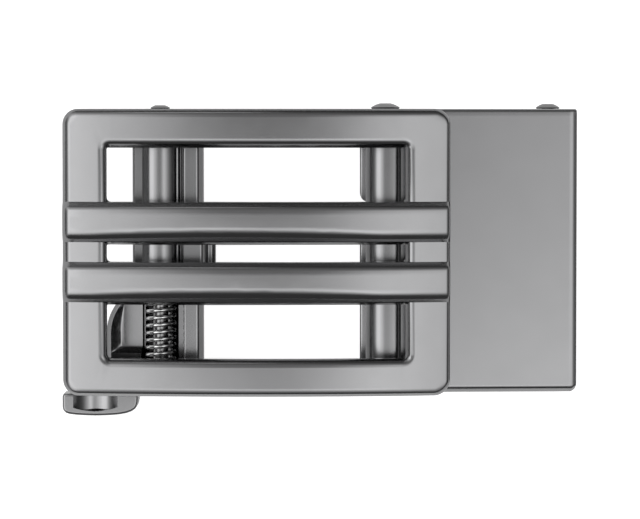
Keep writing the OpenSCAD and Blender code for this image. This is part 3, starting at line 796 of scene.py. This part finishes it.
# The knuckle is a round barrel with a crest over it and a lip below, and two slots in it
knuckle_r = 2.8
knuckle = bar_round("knuckle", hinge_x, hinge_z, knuckle_r, -inside_w, inside_w, 0.25, 72)
crest = cast("crest", [(16, 6.2)] + arc(18.5, 5.85, 3.1, 172, 90, 24)
             + arc(18.5, -1.05, 10, 89, 83, 4) + arc(19.72, 8.36, 0.5, 80, 0, 6) + [(20.22, 6.5)],
             -inside_w + 0.03, inside_w - 0.03, 0.25)
lip = cast("lip", [(14.6, 3.65), (17.4, 3.4), (17.4, 4.65), (14.6, 4.65)], -inside_w, inside_w, 0.35,
           reach=[0.4, 0, 0, 0.4])
work(clamp, [neck, knuckle, crest, lip], "UNION")
slot_line = [(12, 6.1), (19.13, 6.1), (19.13, 6.8)] + arc(15.75, 7.9, 1.1, 270, 180, 8) + [(12, 7.9)]
slots = [cast("slot", [(x, y * side) for x, y in slot_line], 0, 12, 0, along_z) for side in (1, -1)]
jaw_pressed_bore, jaw_loose_bore = 0.92, 0.95
work(clamp, slots + [bar_round("bore", hinge_x, hinge_z, loose_bore, -bore_end, bore_end, 0),
                     bar_round("bore", jaw_x, jaw_z, jaw_pressed_bore, -past_side, past_side, 0)],
     "DIFFERENCE")
finished(clamp, gunmetal, "clamp_casting", "clamp", "strap_clamp")

# Jaw: a pressed steel flap on its own pin under the cover. Three rows of small teeth along
# its free edge bite the strap's end when the flap is folded flat.
flap_x, flap_low, flap_top, flap_w = 28.11, 0.25, 1.15, 18.1
tooth_pitch, row_pitch, tooth_size, bite, tooth_rows, row_teeth = 1.42, 1.6, 1.2, 0.9, 3, 24
jaw = cast("jaw_flap", [(flap_x, flap_low), (jaw_x, flap_low), (jaw_x, flap_top), (flap_x, flap_top)],
           -flap_w, flap_w, 0.2, reach=[0.25, 0, 0, 0.25])
work(jaw, [bar_round("jaw_barrel", jaw_x, jaw_z, 1.5, -flap_w, flap_w, 0.2)], "UNION")
work(jaw, [bar_round("bore", jaw_x, jaw_z, jaw_loose_bore, -bore_end, bore_end, 0)], "DIFFERENCE")
jaw_steel = satin_metal("zinc-plated jaw steel", (0.48, 0.48, 0.48), 0.3, 1.2)

tooth_sizes = ("Row Pitch", "Tooth Pitch", "Tooth Width", "Tooth Length", "Bite")
tooth_tree, start, end = new_tree("bite teeth", tooth_sizes, ("Rows", "Teeth a Row"))
get, link, new = start.outputs, tooth_tree.links.new, tooth_tree.nodes.new
block, stand = new("GeometryNodeMeshCube"), new("GeometryNodeSetPosition")
size = new("ShaderNodeCombineXYZ")
for label, axis in (("Tooth Length", "X"), ("Tooth Width", "Y"), ("Bite", "Z")):
    link(get[label], size.inputs[axis])
link(size.outputs[0], block.inputs["Size"])
spot, push = new("ShaderNodeSeparateXYZ"), new("ShaderNodeCombineXYZ")
link(new("GeometryNodeInputPosition").outputs[0], spot.inputs[0])
upper = calc(tooth_tree, "GREATER_THAN", spot.outputs["Z"], 0)
half_long = calc(tooth_tree, "MULTIPLY", get["Tooth Length"], 0.5)
lean_back = calc(tooth_tree, "MULTIPLY", -0.84, calc(tooth_tree, "ADD", spot.outputs["X"], half_long))
pinch = calc(tooth_tree, "MULTIPLY", upper, calc(tooth_tree, "MULTIPLY", spot.outputs["Y"], -0.35))
link(calc(tooth_tree, "MULTIPLY", upper, lean_back), push.inputs["X"])
link(pinch, push.inputs["Y"])
link(block.outputs["Mesh"], stand.inputs["Geometry"])
link(push.outputs[0], stand.inputs["Offset"])
rows, put = new("GeometryNodeMeshGrid"), new("GeometryNodeInstanceOnPoints")
for label, source in (("Vertices X", "Rows"), ("Vertices Y", "Teeth a Row")):
    link(get[source], rows.inputs[label])
for label, pitch, count in (("Size X", "Row Pitch", "Rows"), ("Size Y", "Tooth Pitch", "Teeth a Row")):
    spaces = calc(tooth_tree, "SUBTRACT", get[count], 1)
    link(calc(tooth_tree, "MULTIPLY", get[pitch], spaces), rows.inputs[label])
laid = new("GeometryNodeTransform")
laid.inputs["Translation"].default_value = metres((flap_x + 0.6 + row_pitch, 0, flap_top + 0.25))
link(rows.outputs["Mesh"], laid.inputs["Geometry"])
link(laid.outputs["Geometry"], put.inputs["Points"])
link(stand.outputs["Geometry"], put.inputs["Instance"])
close_tree(tooth_tree, start, end, put.outputs["Instances"])
teeth = grown("jaw_teeth", tooth_tree, {
    "Row Pitch": row_pitch / 1000, "Tooth Pitch": tooth_pitch / 1000,
    "Tooth Width": tooth_size / 1000, "Tooth Length": tooth_size / 1000, "Bite": bite / 1000,
    "Rows": tooth_rows, "Teeth a Row": row_teeth}, jaw_steel)
turned_out(teeth)
work(jaw, [teeth], "UNION")
finished(jaw, jaw_steel, "jaw_steel", "jaw", "clamp_jaw")

# Stage: white paper under six softboxes, tall ones on both sides, three along the near side
# and one far off, inside a pale tent, as in a product photograph.
paper_half, paper_z, buckle_z, lamp_away = 1500, -0.02, 17, 0.8
corners = [(-paper_half, -paper_half), (paper_half, -paper_half),
           (paper_half, paper_half), (-paper_half, paper_half)]
floor = piece_from("table", [(x, y, paper_z) for x, y in corners], [(0, 1, 2, 3)])
paper = bpy.data.materials.new("white paper")
paper.use_nodes = True
nodes, links = paper.node_tree.nodes, paper.node_tree.links
sheet = nodes["Principled BSDF"]
sheet.inputs["Base Color"].default_value = (0.7, 0.7, 0.7, 1)
sheet.inputs["Roughness"].default_value = 0.9
sheet.inputs["Emission Color"].default_value = (1, 1, 1, 1)
direct, lift = nodes.new("ShaderNodeLightPath"), nodes.new("ShaderNodeMath")
lift.operation = "MULTIPLY_ADD"
lift.inputs[1].default_value, lift.inputs[2].default_value = 0.65, 0.25
links.new(direct.outputs["Is Camera Ray"], lift.inputs[0])
links.new(lift.outputs["Value"], sheet.inputs["Emission Strength"])
floor.data.materials.append(paper)


def softbox(name, lean_x, lean_y, half_x, half_y, glow):
    """A light lean_x and lean_y degrees off the vertical, as half_x by half_y degrees wide."""
    wide, tall = (2 * lamp_away * math.tan(math.radians(half)) for half in (half_x, half_y))
    lamp = bpy.data.lights.new(name, "AREA")
    lamp.shape, lamp.size, lamp.size_y = "RECTANGLE", wide, tall
    lamp.energy = glow * math.pi * wide * tall
    box = bpy.data.objects.new(name, lamp)
    toward = Vector((math.tan(math.radians(lean_x)), math.tan(math.radians(lean_y)), 1)).normalized()
    across = Vector((1, 0, 0)) - toward * toward.x
    across.normalize()
    up = toward.cross(across)
    box.location = Vector((0, 0, buckle_z / 1000)) + toward * lamp_away
    box.rotation_euler = Matrix((across, up, toward)).transposed().to_euler()
    box.visible_camera = False
    bpy.context.scene.collection.objects.link(box)


# Each one's lean off the vertical, its half width both ways, all in degrees, and its glow
for place, *turned in (("left", -42, -3, 13, 30, 0.7), ("right", 18, -3, 6, 30, 0.3),
                       ("near left", -15, -13, 10, 8, 0.4), ("near middle", 1, -12, 8, 10, 0.2),
                       ("near right", 13, -12, 6, 8, 0.45), ("far left", -20, 63, 8, 5, 0.7)):
    softbox(place + " softbox", *turned)

# The tent round the table: pale on the left, the right and the near side of the camera's
# opening, and dimmer above it, on the far side and down towards the table
cloth_glow, top_glow, base_glow = 1.32, 0.27, 0.09
world = bpy.data.worlds.new("light tent")
bpy.context.scene.world = world
world.use_nodes = True
tent = world.node_tree
nodes, links = tent.nodes, tent.links
facing = nodes.new("ShaderNodeSeparateXYZ")
links.new(nodes.new("ShaderNodeTexCoord").outputs["Generated"], facing.inputs[0])
to_right, to_far, to_top = facing.outputs


def soft_step(value, low, high):
    step = nodes.new("ShaderNodeMapRange")
    step.interpolation_type = "SMOOTHSTEP"
    step.inputs["From Min"].default_value, step.inputs["From Max"].default_value = low, high
    links.new(value, step.inputs["Value"])
    return step.outputs["Result"]


def times(*values):
    total = values[0]
    for value in values[1:]:
        total = calc(tent, "MULTIPLY", total, value)
    return total


# How far a direction lies from the camera's opening, which runs from overhead to the far side
beside = calc(tent, "SUBTRACT", to_right, 0.01)
before = calc(tent, "MINIMUM", calc(tent, "SUBTRACT", to_far, 0.15), 0)
away = calc(tent, "SQRT", calc(tent, "ADD", times(beside, beside), times(before, before)))
at_left, at_near = soft_step(to_right, -1.03, -0.7), soft_step(to_far, -0.75, -0.12)
at_right = calc(tent, "SUBTRACT", 1, soft_step(to_right, 0.33, 0.84))
at_far = calc(tent, "SUBTRACT", 1, times(soft_step(to_far, 0.42, 0.92), 0.85))
far_right = times(soft_step(to_far, 0.3, 0.75), soft_step(to_right, -0.15, 0.1))
cloth = times(soft_step(away, 0.1, 0.48), at_left, at_right, at_near, at_far,
              calc(tent, "SUBTRACT", 1, far_right), cloth_glow)
above = times(soft_step(to_top, 0.25, 1.0), at_near, top_glow)
dark, pale = nodes["Background"], nodes.new("ShaderNodeBackground")
dark.inputs["Color"].default_value = (1, 1, 1, 1)
links.new(calc(tent, "ADD", calc(tent, "ADD", cloth, above), base_glow), dark.inputs["Strength"])
pale.inputs["Color"].default_value = (0.95, 0.95, 0.95, 1)
seen, mixed = nodes.new("ShaderNodeLightPath"), nodes.new("ShaderNodeMixShader")
links.new(seen.outputs["Is Camera Ray"], mixed.inputs["Fac"])
links.new(dark.outputs["Background"], mixed.inputs[1])
links.new(pale.outputs["Background"], mixed.inputs[2])
links.new(mixed.outputs["Shader"], nodes["World Output"].inputs["Surface"])
bpy.context.scene.view_settings.view_transform = "Standard"

# The camera looks down on the face, two degrees off the vertical towards the far side
eye, target = Vector((0.000155, 0.01984, 0.4919)), Vector((0.000155, 0.00046, 0.0169))
lens = bpy.data.cameras.new("camera")
lens.sensor_width, lens.lens = 36.0, 192.4
lens.clip_start, lens.clip_end = 0.01, 20.0
camera = bpy.data.objects.new("camera", lens)
camera.location = eye
aim = target - eye
camera.rotation_euler = (math.atan2(aim.y, -aim.z), 0, 0)
bpy.context.scene.collection.objects.link(camera)
bpy.context.scene.camera = camera
